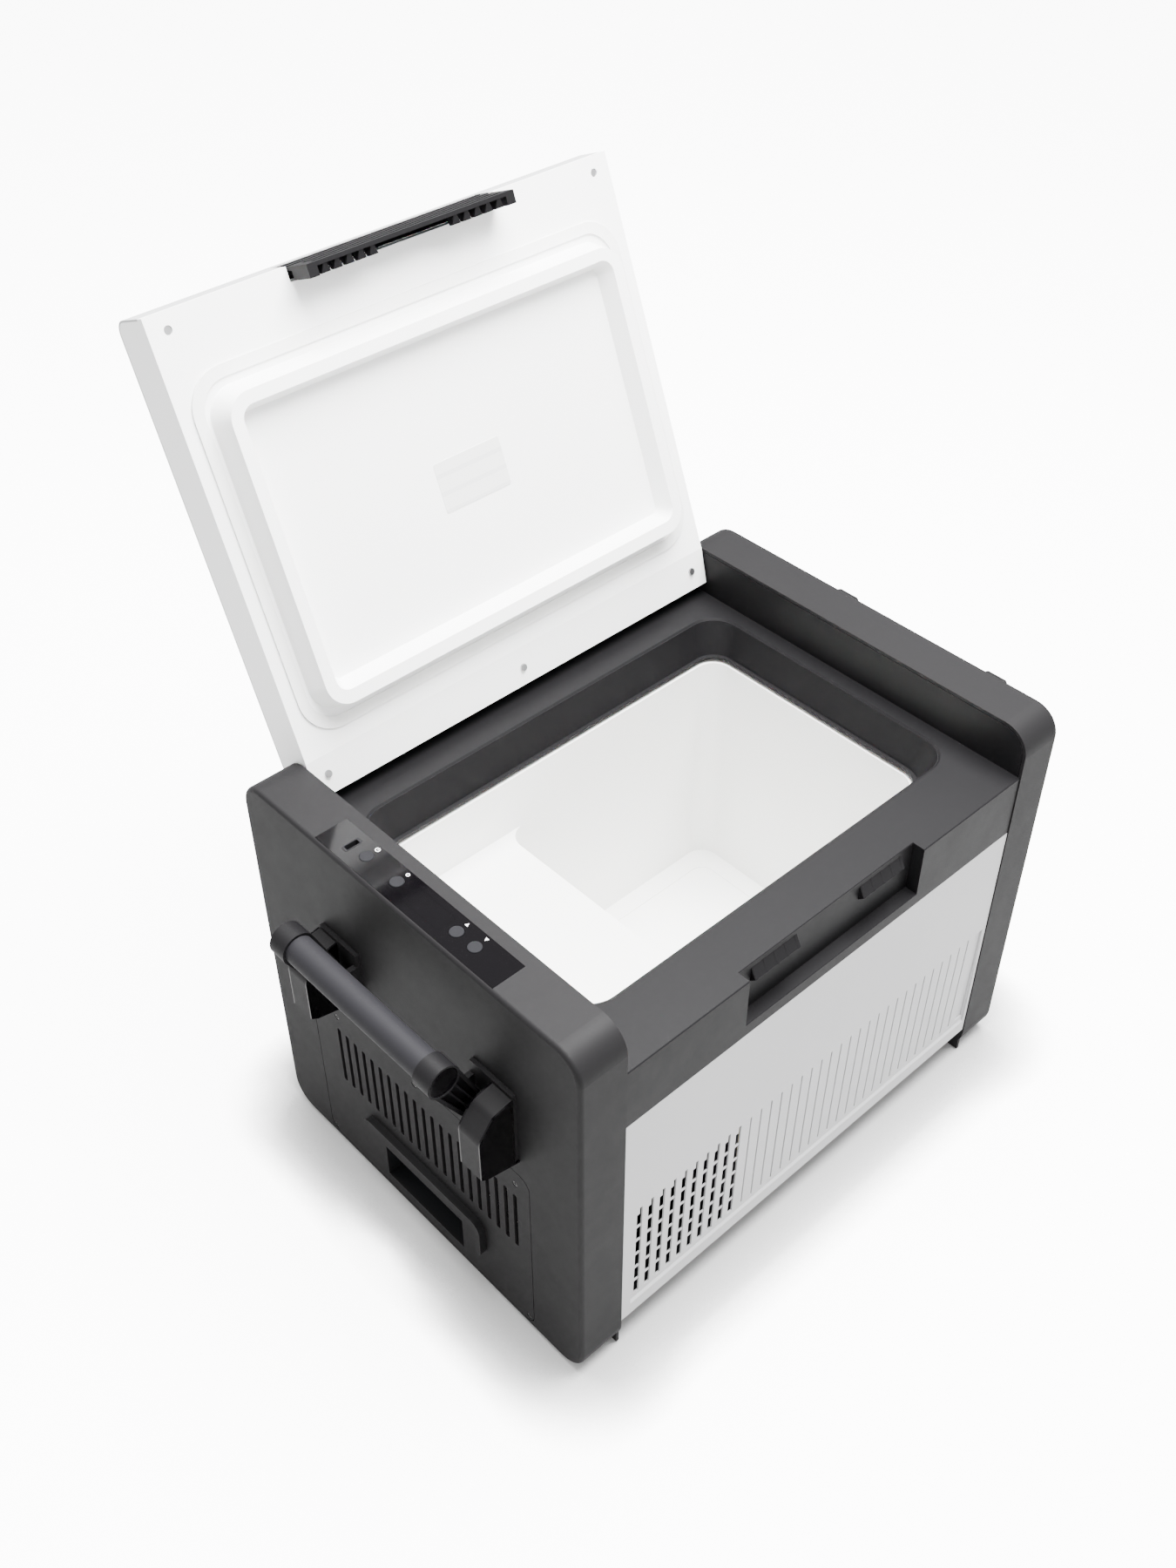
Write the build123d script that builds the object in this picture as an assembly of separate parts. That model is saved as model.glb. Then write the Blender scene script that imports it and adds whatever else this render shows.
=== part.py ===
from build123d import *
import os
from math import atan2, cos, degrees, sin

# Compressor cooler fridge, 32 l class: a foamed tub between two end casings, with the lid open.
# +X is along the length (controls at -X), -Y is the front, +Z is up, the floor is z = 0.

# ---- driving dimensions -------------------------------------------------------------------
LENGTH = 560.0            # outer face to outer face of the two end casings
DEPTH = 408.0             # front to back
HEIGHT = 413.0            # floor to casing tops
BASE_LIFT = 2.0           # casings stand this far off the floor, on their feet
WALL = 3.0                # moulded wall
SHEET = 1.5               # sheet metal
CASING_R = 26.0           # corner radius of the end casings, seen from the end
CHEEK_X = 233.7           # inner face of each cheek, where the middle body begins
SKIN_Y = DEPTH / 2 - 1.0  # front and rear skins sit 1 mm back from the casings
RIM_TOP = 365.3           # deck round the opening
PANEL_TOP = 301.4         # joint between deck skirt and front panel
PANEL_BOTTOM = 34.0
PANEL_T = 4.5
PAN_TOP = 38.0            # flange of the base pan, hidden behind the panels' feet
GAP = 0.3                 # clearance between parts that move apart

HALF = LENGTH / 2
FRONT = -DEPTH / 2
BACK = DEPTH / 2

# opening, collar and tub
OPENING = (434.0, 286.0)  # opening at the deck, along X and Y
COLLAR_FOOT = (412.0, 262.0)
COLLAR_DROP = 32.0
OPENING_R = 28.0
LEDGE = 3.5
TUB_X = (-200.0, 201.0)   # inside faces
TUB_Y = 126.0
TUB_R = 20.0
TUB_WALL = 2.0
TUB_FLOOR = 77.0
STEP_X = -67.0            # right edge of the step over the compressor
STEP_TOP = 265.0
TUB_TOP = RIM_TOP - COLLAR_DROP - 6.0

# compressor compartment
ROOM_X = -96.0
ROOM_TOP = 236.0

# lid
LID_HALF = 232.4
LID_FRONT = -203.4
LID_BACK = 202.8
LID_FACE = 367.4          # underside when closed
LID_TOP = 412.6
LID_COVER_T = 1.6
LID_R = 12.0              # rounding of the lid's top edges, front and back
HINGE_Y = 188.3
HINGE_Z = 386.9
OPEN_ANGLE = 112.0        # the lid is modelled open, leaning back on its stop
PLUG_ROOT = (418.0, 275.0)
PLUG_TIP = (405.0, 262.0)
PLUG_Y = -1.5
PLUG_H = 22.0
POCKET = (384.0, 240.0)
POCKET_H = 16.0

# latch and the notch that takes it
NOTCH_HALF = 104.5
NOTCH_FLOOR = 314.0
NOTCH_DEPTH = 12.0
LATCH_PIN = (-196.2, 382.0)
CATCH_X = (38.0, 90.0)
LATCH_Z = (338.0, 390.0)  # foot and head of the latch when the lid is closed

# bail handles
PIVOT = (-297.0, 290.0)   # X and Z of the left handle's pivot
GRIP = (-328.0, 352.0)    # X and Z of its grip
GRIP_D = 25.4
LEAN = atan2(PIVOT[0] - GRIP[0], GRIP[1] - PIVOT[1])  # how far the arms lean outwards, in radians
HANDLE_MID = -13.0        # both bails are centred on this Y
ARM_SPAN = 92.0           # mid-plane to the outer face of each arm
ARM_T = 12.0
BOSS = 6.0                # the grip's ends stand this far beyond the arms
BRACKET_IN = 71.0         # mid-plane to the inner and outer faces of each bracket
BRACKET_OUT = 121.5
BOX_W = 25.0
CAP_T = 1.5
PIN_R = 4.0
RUN_FIT = 0.08

# control strip on the left casing's top
STRIP_X = (-277.2, -245.7)
STRIP_Y = (-109.0, 105.0)
STRIP_T = 1.5
BUTTON_X = -260.5
BUTTON_R = 5.8
BUTTONS = {"power_button": 60.1, "set_button": 22.4, "up_button": -48.7, "down_button": -69.7}
DISPLAY = (-270.0, -252.0, -38.0, 8.0)
USB = (-261.0, 78.2)
USB_SIZE = (17.0, 7.0)

# service cover on the left end face
COVER_HALF = 144.0
COVER_Z = (8.0, 214.0)
COVER_R = 12.0
COVER_SEAM = 0.7          # gap all round the cover
SLOT_Z = (110.0, 181.0)
SLOT_W = 4.6
SLOT_PITCH = 11.7
SLOT_COUNT = 21
SLOT_MID = -9.0
RECESS_Y = (-51.0, 56.0)
RECESS_Z = (22.0, 62.0)
RECESS_DEPTH = 18.0

# vents on the front panel
VENT_X = -217.9
VENT_PITCH = 12.74
OPEN_VENTS = 10
BLIND_VENTS = 24
VENT_W = 6.0
VENT_Z = (57.0, 181.0)
VENT_BAR = 2.2
VENT_SHOULDER = 8.0       # the top of each open slot is half as wide
BAR_SINK = 0.5
SCREEN_T = 1.6            # the panel is thinned behind the open slots
GROOVE_W = 1.8
GROOVE_DEPTH = 1.9
FIELD_Z = (51.0, 186.0)   # the vented field leans inwards towards its foot
FIELD_LEAN = 2.0
FAN_MID = (-260.0, 0.0, 146.0)
FAN_SIDE = 120.0


# ---- helpers ------------------------------------------------------------------------------
def block(x0, x1, y0, y1, z0, z1):
    """A box from its lowest and highest corners."""
    centre = Pos((x0 + x1) / 2, (y0 + y1) / 2, (z0 + z1) / 2)
    return centre * Box(abs(x1 - x0), abs(y1 - y0), abs(z1 - z0))


def slab_x(x0, x1, y0, y1, z0, z1, r):
    """A slab whose corners are rounded as seen along X."""
    plane = Plane(origin=(x0, (y0 + y1) / 2, (z0 + z1) / 2), x_dir=(0, 1, 0), z_dir=(1, 0, 0))
    return extrude(plane * RectangleRounded(y1 - y0, z1 - z0, r), x1 - x0)


def slab_z(x0, x1, y0, y1, z0, z1, r):
    """A slab whose corners are rounded as seen from above."""
    plane = Plane(origin=((x0 + x1) / 2, (y0 + y1) / 2, z0))
    return extrude(plane * RectangleRounded(x1 - x0, y1 - y0, r), z1 - z0)


def side_view(y, outline):
    """A sketch drawn in X and Z on the plane at y, to be extruded towards the front."""
    return Plane(origin=(0, y, 0), x_dir=(1, 0, 0), z_dir=(0, -1, 0)) * outline


def rod_x(x0, x1, y, z, r):
    return Pos((x0 + x1) / 2, y, z) * Rot(0, 90, 0) * Cylinder(r, abs(x1 - x0))


def rod_y(y0, y1, x, z, r):
    return Pos(x, (y0 + y1) / 2, z) * Rot(90, 0, 0) * Cylinder(r, abs(y1 - y0))


def rod_z(z0, z1, x, y, r):
    return Pos(x, y, (z0 + z1) / 2) * Cylinder(r, abs(z1 - z0))


def tapered(size_low, size_high, r_low, r_high, y, z_low, z_high):
    """A block that tapers between two rounded rectangles centred on x = 0."""
    low = Plane(origin=(0, y, z_low)) * RectangleRounded(*size_low, r_low)
    high = Plane(origin=(0, y, z_high)) * RectangleRounded(*size_high, r_high)
    return loft([low, high])


def opened(shape):
    """Turn a lid part from its closed place to the open pose it is stored in."""
    turned = Pos(0, HINGE_Y, HINGE_Z) * Rot(-OPEN_ANGLE, 0, 0) * Pos(0, -HINGE_Y, -HINGE_Z)
    return turned * shape


def other_side(shape):
    """The mirror image of a left-hand part, for the right-hand end."""
    return mirror(shape, about=Plane.YZ)


# ---- end casings --------------------------------------------------------------------------
def casing_blank():
    body = slab_x(-HALF, -CHEEK_X - 0.2, FRONT, BACK, BASE_LIFT, HEIGHT, CASING_R)
    outer_edges = body.faces().sort_by(Axis.X)[0].edges()
    body = fillet(outer_edges, 4.0)
    inside = slab_x(-HALF + WALL, -CHEEK_X, FRONT + WALL, BACK - WALL, BASE_LIFT + WALL, HEIGHT - WALL,
                    CASING_R - WALL)
    cheek_foot = block(-CHEEK_X - WALL, -CHEEK_X - 0.2, FRONT + WALL, BACK - WALL, BASE_LIFT, PANEL_BOTTOM)
    return body - inside + cheek_foot


def foot_places():
    return [(x, y) for x in (-257.0, 257.0) for y in (-165.0, 165.0)]


def casing_foot_holes(casing, side):
    for x, y in foot_places():
        if x * side > 0:
            casing -= rod_z(BASE_LIFT, BASE_LIFT + WALL, x, y, 4.0)
    return casing


def left_end_casing():
    casing = casing_blank()
    lip = 10.0
    cover = slab_x(-HALF, -HALF + WALL, -COVER_HALF - COVER_SEAM, COVER_HALF + COVER_SEAM,
                   COVER_Z[0] - COVER_SEAM, COVER_Z[1] + COVER_SEAM, COVER_R)
    frame = slab_x(-HALF + WALL, -HALF + 2 * WALL, -COVER_HALF - lip, COVER_HALF + lip,
                   BASE_LIFT + WALL, COVER_Z[1] + lip, 4.0)
    mouth = slab_x(-HALF + WALL, -HALF + 2 * WALL, -COVER_HALF + lip, COVER_HALF - lip,
                   COVER_Z[0] + lip, SLOT_Z[1] + lip, 8.0)
    casing = casing - cover + (frame - mouth)
    strip_seat = block(STRIP_X[0], STRIP_X[1], STRIP_Y[0], STRIP_Y[1], HEIGHT - STRIP_T, HEIGHT + 1)
    casing -= strip_seat
    for y in BUTTONS.values():
        casing -= rod_z(HEIGHT - WALL, HEIGHT, BUTTON_X, y, BUTTON_R + GAP)
    casing -= usb_block(0.0, HEIGHT - WALL, HEIGHT)
    for y in screw_rows():
        casing -= rod_x(-HALF + WALL, -HALF + 2 * WALL, y[0], y[1], 1.6)
    return casing_foot_holes(casing, -1)


def right_end_casing():
    return casing_foot_holes(other_side(casing_blank()), 1)


def rubber_feet():
    return [rod_z(0, BASE_LIFT, x, y, 12.0) + rod_z(BASE_LIFT, BASE_LIFT + WALL, x, y, 4.0)
            for x, y in foot_places()]


# ---- middle body --------------------------------------------------------------------------
def base_pan():
    """A tray that the compressor stands on; its flat underside is the face the fridge rests on."""
    top = PAN_TOP
    tray = tapered((380.0, 310.0), (410.0, 340.0), 16.0, 22.0, 0.0, 0.0, top)
    hollow = tapered((375.0, 305.0), (405.0, 335.0), 14.0, 20.0, 0.0, 2.5, top)
    flange = block(-CHEEK_X, CHEEK_X, -SKIN_Y + PANEL_T, SKIN_Y - PANEL_T, top - 2.5, top)
    mouth = slab_z(-204.0, 204.0, -169.0, 169.0, top - 2.5, top, 20.0)
    return (tray - hollow) + (flange - mouth)


def in_field(x0, x1, near, far, z0, z1):
    """A block that leans with the vented field; near and far are depths below the field's face."""
    def face_y(z):
        return -SKIN_Y + FIELD_LEAN * (FIELD_Z[1] - z) / (FIELD_Z[1] - FIELD_Z[0])
    outline = Polyline((face_y(z1) + near, z1), (face_y(z1) + far, z1), (face_y(z0) + far, z0),
                       (face_y(z0) + near, z0), close=True)
    side = Plane(origin=(x0, 0, 0), x_dir=(0, 1, 0), z_dir=(1, 0, 0)) * make_face(outline)
    return extrude(side, x1 - x0)


def vent_cuts():
    """Ten open slots with cross bars at the left, then blind grooves, then one wide groove."""
    z0, z1 = VENT_Z
    shoulder = z1 - VENT_SHOULDER
    through = PANEL_T + 1.0
    rows = 6
    step = (shoulder - z0 + VENT_BAR) / rows
    last = VENT_X + OPEN_VENTS * VENT_PITCH
    cuts = [in_field(VENT_X - 3.0, last - 3.0, SCREEN_T, through, z0 - 2.0, z1 + 2.0)]
    for i in range(OPEN_VENTS):
        x = VENT_X + i * VENT_PITCH
        cuts.append(in_field(x + VENT_W / 2, x + VENT_W, -1.0, through, shoulder - 1.0, z1))
        cuts.append(in_field(x, x + VENT_W, -1.0, BAR_SINK, z0, shoulder))
        for row in range(rows):
            low = z0 + row * step
            cuts.append(in_field(x, x + VENT_W, -1.0, through, low, low + step - VENT_BAR))
    for i in range(BLIND_VENTS):
        right = last + i * VENT_PITCH + VENT_W
        cuts.append(in_field(right - GROOVE_W, right, -1.0, GROOVE_DEPTH, z0, z1))
    wide = last + BLIND_VENTS * VENT_PITCH + 3.0
    cuts.append(in_field(wide, wide + 10.5, -1.0, GROOVE_DEPTH, z0, z1))
    return cuts


def front_panel():
    half = CHEEK_X - 0.2
    panel = block(-half, half, -SKIN_Y, -SKIN_Y + PANEL_T, PANEL_BOTTOM, PANEL_TOP)
    # the vented field ends above a lip along the bottom edge
    foot, top = FIELD_Z
    outline = Polyline((-SKIN_Y - 1, top), (-SKIN_Y, top), (-SKIN_Y + FIELD_LEAN, foot),
                       (-SKIN_Y - 1, foot - 3.0), close=True)
    field = Plane(origin=(-223.0, 0, 0), x_dir=(0, 1, 0), z_dir=(1, 0, 0)) * make_face(outline)
    panel -= extrude(field, 453.0)
    for cut in vent_cuts():
        panel -= cut
    panel -= edge_cut(-half, half, -SKIN_Y, PANEL_TOP, 1.0)
    return panel


def rear_panel():
    half = CHEEK_X - 0.2
    return block(-half, half, SKIN_Y - PANEL_T, SKIN_Y, PANEL_BOTTOM, PANEL_TOP)


def catch_blocks():
    """Two ridged wedges on the notch's back wall; the latch hooks under them."""
    wall_y = -SKIN_Y + NOTCH_DEPTH
    blocks = []
    for side in (-1, 1):
        x0, x1 = sorted((side * CATCH_X[0], side * CATCH_X[1]))
        outline = Polyline((wall_y + 0.5, 361.0), (wall_y - 5.5, 350.0), (wall_y, 345.0),
                           (wall_y + 0.5, 345.0), close=True)
        wedge = Plane(origin=(x0, 0, 0), x_dir=(0, 1, 0), z_dir=(1, 0, 0)) * make_face(outline)
        blocks.append(extrude(wedge, x1 - x0))
    return blocks


def edge_cut(x0, x1, y, z, size):
    """A square bar laid corner-down along an edge that faces up and forwards, to bevel it."""
    plane = Plane(origin=(x0, y, z), x_dir=(0, 1, 0), z_dir=(1, 0, 0))
    return extrude(plane * Rot(0, 0, 45) * Rectangle(size, size), x1 - x0)


def rim_bezel():
    """Deck, skirts, cheeks, collar and latch notch in one moulding."""
    deck = block(-CHEEK_X, CHEEK_X, -SKIN_Y, SKIN_Y, RIM_TOP - 3.5, RIM_TOP)
    for y0 in (-SKIN_Y, SKIN_Y - WALL):
        deck += block(-CHEEK_X, CHEEK_X, y0, y0 + WALL, PANEL_TOP + 0.3, RIM_TOP)
    inset = WALL + 0.4
    for x0 in (-CHEEK_X - 2.3, CHEEK_X):
        cheek = slab_x(x0, x0 + 2.3, FRONT + inset, BACK - inset, PANEL_TOP, HEIGHT - inset, CASING_R - inset)
        deck += cheek
    foot = RIM_TOP - COLLAR_DROP
    grow = 2 * WALL
    deck += tapered((COLLAR_FOOT[0] + grow, COLLAR_FOOT[1] + grow), (OPENING[0] + grow, OPENING[1] + grow),
                    OPENING_R - 2, OPENING_R + 3, 0.0, foot - 3.0, RIM_TOP - 1.0)
    deck -= tapered(COLLAR_FOOT, OPENING, OPENING_R - 5, OPENING_R, 0.0, foot, RIM_TOP + 0.01)
    deck -= slab_z(-COLLAR_FOOT[0] / 2 + LEDGE, COLLAR_FOOT[0] / 2 - LEDGE, -COLLAR_FOOT[1] / 2 + LEDGE,
                   COLLAR_FOOT[1] / 2 - LEDGE, foot - 4.0, foot + 1.0, TUB_R + 1)
    # latch notch
    box_wall = 2.0
    deck += block(-NOTCH_HALF - box_wall, NOTCH_HALF + box_wall, -SKIN_Y, -SKIN_Y + NOTCH_DEPTH + box_wall,
                  NOTCH_FLOOR - box_wall, RIM_TOP)
    deck -= block(-NOTCH_HALF, NOTCH_HALF, -SKIN_Y - 1, -SKIN_Y + NOTCH_DEPTH, NOTCH_FLOOR, RIM_TOP + 1)
    for wedge in catch_blocks():
        deck += wedge
    deck -= edge_cut(-CHEEK_X, CHEEK_X, -SKIN_Y, RIM_TOP, 1.2)
    deck -= edge_cut(-NOTCH_HALF, NOTCH_HALF, -SKIN_Y + NOTCH_DEPTH, RIM_TOP, 0.8)
    deck -= edge_cut(-NOTCH_HALF, NOTCH_HALF, -SKIN_Y, NOTCH_FLOOR, 0.8)
    deck -= tapered((OPENING[0], OPENING[1]), (OPENING[0] + 4.0, OPENING[1] + 4.0), OPENING_R, OPENING_R + 2,
                    0.0, RIM_TOP - 1.6, RIM_TOP + 0.4)
    for side in (-1, 1):
        deck -= rod_x(side * (CHEEK_X - 1), side * (CHEEK_X + 4), HINGE_Y, HINGE_Z, 5.0)
    return deck


def hinge_pins():
    pins = []
    for side in (-1, 1):
        shaft = rod_x(side * (LID_HALF - 10), side * (CHEEK_X + 2.3), HINGE_Y, HINGE_Z, 5.0)
        head = rod_x(side * (CHEEK_X + 2.3), side * (CHEEK_X + 6), HINGE_Y, HINGE_Z, 8.0)
        pins.append(shaft + head)
    return pins


def tub_solid(grow, top):
    """The tub's volume, grown on every face: a deep well and a shallow part over the compressor."""
    deep = slab_z(STEP_X - grow, TUB_X[1] + grow, -TUB_Y - grow, TUB_Y + grow, TUB_FLOOR - grow, top,
                  TUB_R + grow)
    shallow = slab_z(TUB_X[0] - grow, TUB_X[1] + grow, -TUB_Y - grow, TUB_Y + grow, STEP_TOP - grow, top,
                     TUB_R + grow)
    return deep + shallow


def inner_tub():
    tub = tub_solid(TUB_WALL, TUB_TOP)
    rim = slab_z(TUB_X[0] - 6, TUB_X[1] + 6, -TUB_Y - 6, TUB_Y + 6, TUB_TOP - 2, TUB_TOP, TUB_R + 6)
    tub = tub + rim - tub_solid(0.0, TUB_TOP + 1)
    # a shallow sunk panel in the floor
    tub -= slab_z(STEP_X + 20, TUB_X[1] - 20, -TUB_Y + 20, TUB_Y - 20, TUB_FLOOR - 0.8, TUB_FLOOR, 14.0)
    return tub


def evaporator_plate():
    """A bonded plate wrapped round three sides of the deep well, hidden in the foam."""
    z0, z1 = 112.0, 288.0
    x1 = TUB_X[1] + TUB_WALL
    y1 = TUB_Y + TUB_WALL
    outer = slab_z(STEP_X + 26, x1 + SHEET, -y1 - SHEET, y1 + SHEET, z0, z1, TUB_R + TUB_WALL + SHEET)
    inner = slab_z(STEP_X - 60, x1 + 0.05, -y1 - 0.05, y1 + 0.05, z0 - 1, z1 + 1, TUB_R + TUB_WALL)
    ends = block(STEP_X - 60, STEP_X + 60, -y1 - 5, y1 + 5, z0 - 1, z1 + 1)
    return outer - inner - ends


def tub_insulation():
    y1 = SKIN_Y - PANEL_T - 0.2
    foam = block(-CHEEK_X + 1, CHEEK_X - 1, -y1, y1, PAN_TOP + 0.2, RIM_TOP - 3.7)
    foam -= block(-CHEEK_X, ROOM_X + SHEET + 0.2, -y1 - 1, y1 + 1, 0, ROOM_TOP + SHEET + 0.2)
    foam -= tub_solid(TUB_WALL + SHEET + 0.5, TUB_TOP + 60)
    grow = 2 * WALL + 1.0
    foot = RIM_TOP - COLLAR_DROP
    foam -= tapered((COLLAR_FOOT[0] + grow, COLLAR_FOOT[1] + grow), (OPENING[0] + grow, OPENING[1] + grow),
                    OPENING_R - 2, OPENING_R + 3, 0.0, foot - 5.0, RIM_TOP)
    foam -= block(-NOTCH_HALF - 3, NOTCH_HALF + 3, -y1 - 1, -SKIN_Y + NOTCH_DEPTH + 3, NOTCH_FLOOR - 3, RIM_TOP)
    foam -= slab_z(TUB_X[0] - 7, TUB_X[1] + 7, -TUB_Y - 7, TUB_Y + 7, TUB_TOP - 2.5, RIM_TOP, TUB_R + 7)
    return foam


def compartment_partition():
    y1 = SKIN_Y - PANEL_T - 0.3
    wall = block(ROOM_X, ROOM_X + SHEET, -y1, y1, PAN_TOP, ROOM_TOP + SHEET)
    roof = block(-CHEEK_X + 1, ROOM_X + SHEET, -y1, y1, ROOM_TOP, ROOM_TOP + SHEET)
    return wall + roof


# ---- cooling machinery --------------------------------------------------------------------
COMPRESSOR = (-148.0, 78.0)
COMPRESSOR_TOP = 128.0


def compressor():
    x, y = COMPRESSOR
    shell = rod_z(18.0, COMPRESSOR_TOP, x, y, 47.0)
    shell = fillet(shell.edges().sort_by(Axis.Z)[-1], 26.0)
    shell = fillet(shell.edges().sort_by(Axis.Z)[0], 10.0)
    band = rod_z(70.0, 76.0, x, y, 49.0)
    foot_plate = slab_z(x - 38, x + 38, y - 58, y + 58, 15.0, 18.5, 10.0)
    terminal = block(x - 18, x + 18, y - 60, y - 42, 60.0, 100.0)
    body = shell + band + foot_plate + terminal
    for gx, gy in grommet_places():
        body -= rod_z(14.0, 20.0, gx, gy, 4.0)
    return body


def grommet_places():
    x, y = COMPRESSOR
    return [(x + dx, y + dy) for dx in (-27.0, 27.0) for dy in (-48.0, 48.0)]


def compressor_grommets():
    return [rod_z(2.5, 15.0, x, y, 8.0) + rod_z(15.0, 22.0, x, y, 4.0) for x, y in grommet_places()]


def condenser_coil():
    """Fins on serpentine tubes, behind the fan."""
    x0, x1 = -246.0, -222.0
    z0, z1 = 88.0, 204.0
    fins = []
    count = 26
    for i in range(count):
        y = -62.0 + i * 124.0 / (count - 1)
        fins.append(block(x0, x1, y - 0.4, y + 0.4, z0, z1))
    coil = fins[0]
    for fin in fins[1:]:
        coil += fin
    for row in range(5):
        coil += rod_y(-66.0, 66.0, (x0 + x1) / 2, z0 + 14 + row * 22.0, 3.5)
    for y in (-66.0, 66.0):
        coil += block(x0, x1, y - 1, y + 1, z0 - 2, z1 + 2)
    return coil


def fan_frame():
    x, y, z = FAN_MID
    half = FAN_SIDE / 2
    frame = slab_x(x - 12.5, x + 12.5, y - half, y + half, z - half, z + half, 6.0)
    frame -= rod_x(x - 13, x + 13, y, z, 57.0)
    hub = rod_x(x + 8.5, x + 12.5, y, z, 19.0)
    for angle in (45, 135, 225, 315):
        spoke = block(x + 8.5, x + 12.5, y - 2, y + 2, z + 17, z + 58.5)
        hub += Pos(x, y, z) * Rot(angle, 0, 0) * Pos(-x, -y, -z) * spoke
    axle = rod_x(x - 9, x + 9, y, z, 2.0)
    return frame + hub + axle


def fan_rotor():
    x, y, z = FAN_MID
    hub = rod_x(x - 11, x + 7.5, y, z, 20.0)
    blades = 7
    for i in range(blades):
        blade = Pos(x - 2, y, z + 36) * Rot(0, 0, 32) * Box(16.0, 1.6, 37.0)
        hub += Pos(x, y, z) * Rot(i * 360 / blades, 0, 0) * Pos(-x, -y, -z) * blade
    return hub - rod_x(x - 9.5, x + 8, y, z, 2.0 + RUN_FIT)


def controller_box():
    box = slab_x(-CHEEK_X + 4, -212.0, 84.0, 190.0, 96.0, 196.0, 5.0)
    for i in range(9):
        y = 94.0 + i * 10.5
        box += block(-212.0, -204.0, y, y + 2.0, 104.0, 188.0)
    return box


def pipe(points, bend, r):
    path = FilletPolyline(*points, radius=bend)
    start = Plane(origin=path @ 0, z_dir=path % 0)
    return sweep(start * Circle(r), path=path)


def refrigerant_lines():
    x, y = COMPRESSOR
    top = COMPRESSOR_TOP
    discharge = pipe([(x - 10, y - 18, top), (x - 10, y - 18, 220), (-234, y - 18, 220), (-234, y - 18, 204)],
                     6.0, 3.0)
    suction = pipe([(x + 12, y - 8, top), (x + 12, y - 8, 226), (x + 12, -60, 226), (ROOM_X, -60, 226)],
                   10.0, 4.0)
    return [discharge, suction]


# ---- control strip ------------------------------------------------------------------------
def usb_block(margin, z0, z1):
    """The opening of the socket, grown by margin on every side."""
    x, y = USB
    return slab_z(x - USB_SIZE[0] / 2 - margin, x + USB_SIZE[0] / 2 + margin,
                  y - USB_SIZE[1] / 2 - margin, y + USB_SIZE[1] / 2 + margin, z0, z1, 2.0)


def control_overlay():
    strip = block(STRIP_X[0] + 0.1, STRIP_X[1] - 0.1, STRIP_Y[0] + 0.1, STRIP_Y[1] - 0.1,
                  HEIGHT - STRIP_T, HEIGHT + 0.05)
    x0, x1, y0, y1 = DISPLAY
    strip -= slab_z(x0, x1, y0, y1, HEIGHT - STRIP_T, HEIGHT + 1, 2.0)
    for y in BUTTONS.values():
        strip -= rod_z(HEIGHT - STRIP_T, HEIGHT + 1, BUTTON_X, y, BUTTON_R + GAP)
    return strip - usb_block(0.0, HEIGHT - STRIP_T, HEIGHT + 1)


def display_window():
    x0, x1, y0, y1 = DISPLAY
    return slab_z(x0 + 0.1, x1 - 0.1, y0 + 0.1, y1 - 0.1, HEIGHT - STRIP_T, HEIGHT + 0.05, 2.0)


BOARD_TOP = 400.0


def display_board():
    board = block(STRIP_X[0] + 4, STRIP_X[1] - 2, STRIP_Y[0] + 6, 66.0, BOARD_TOP - SHEET, BOARD_TOP)
    for y in BUTTONS.values():
        board += rod_z(BOARD_TOP, BOARD_TOP + 2.0, BUTTON_X, y, 3.0)
    for y in (STRIP_Y[0] + 10, 0.0, 42.0):
        board += rod_z(BOARD_TOP, HEIGHT - WALL, STRIP_X[1] - 5, y, 2.0)
    return board


def button(y):
    """A round cap on a short stem that meets the switch on the board; it travels 0.8 mm."""
    cap = rod_z(HEIGHT - WALL - 1.5, HEIGHT + 0.6, BUTTON_X, y, BUTTON_R)
    cap = fillet(cap.edges().sort_by(Axis.Z)[-1], 0.5)
    flange = rod_z(HEIGHT - WALL - 2.0, HEIGHT - WALL - 0.4, BUTTON_X, y, BUTTON_R + 1.4)
    stem = rod_z(BOARD_TOP + 3.1, HEIGHT - WALL - 1.5, BUTTON_X, y, 2.0)
    return cap + flange + stem


def usb_socket():
    x, y = USB
    shell = usb_block(-0.1, HEIGHT - 16.0, HEIGHT + 0.3)
    mouth = block(x - 6.2, x + 6.2, y - 2.4, y + 2.4, HEIGHT - 11.0, HEIGHT + 1)
    return shell - mouth


# ---- service cover and sockets --------------------------------------------------------------
def screw_rows():
    """Y and Z of the service cover's five screws."""
    return [(-127.0, 197.0), (0.0, 204.0), (108.0, 197.0), (-COVER_HALF + 6, 15.0), (COVER_HALF - 6, 15.0)]


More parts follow.
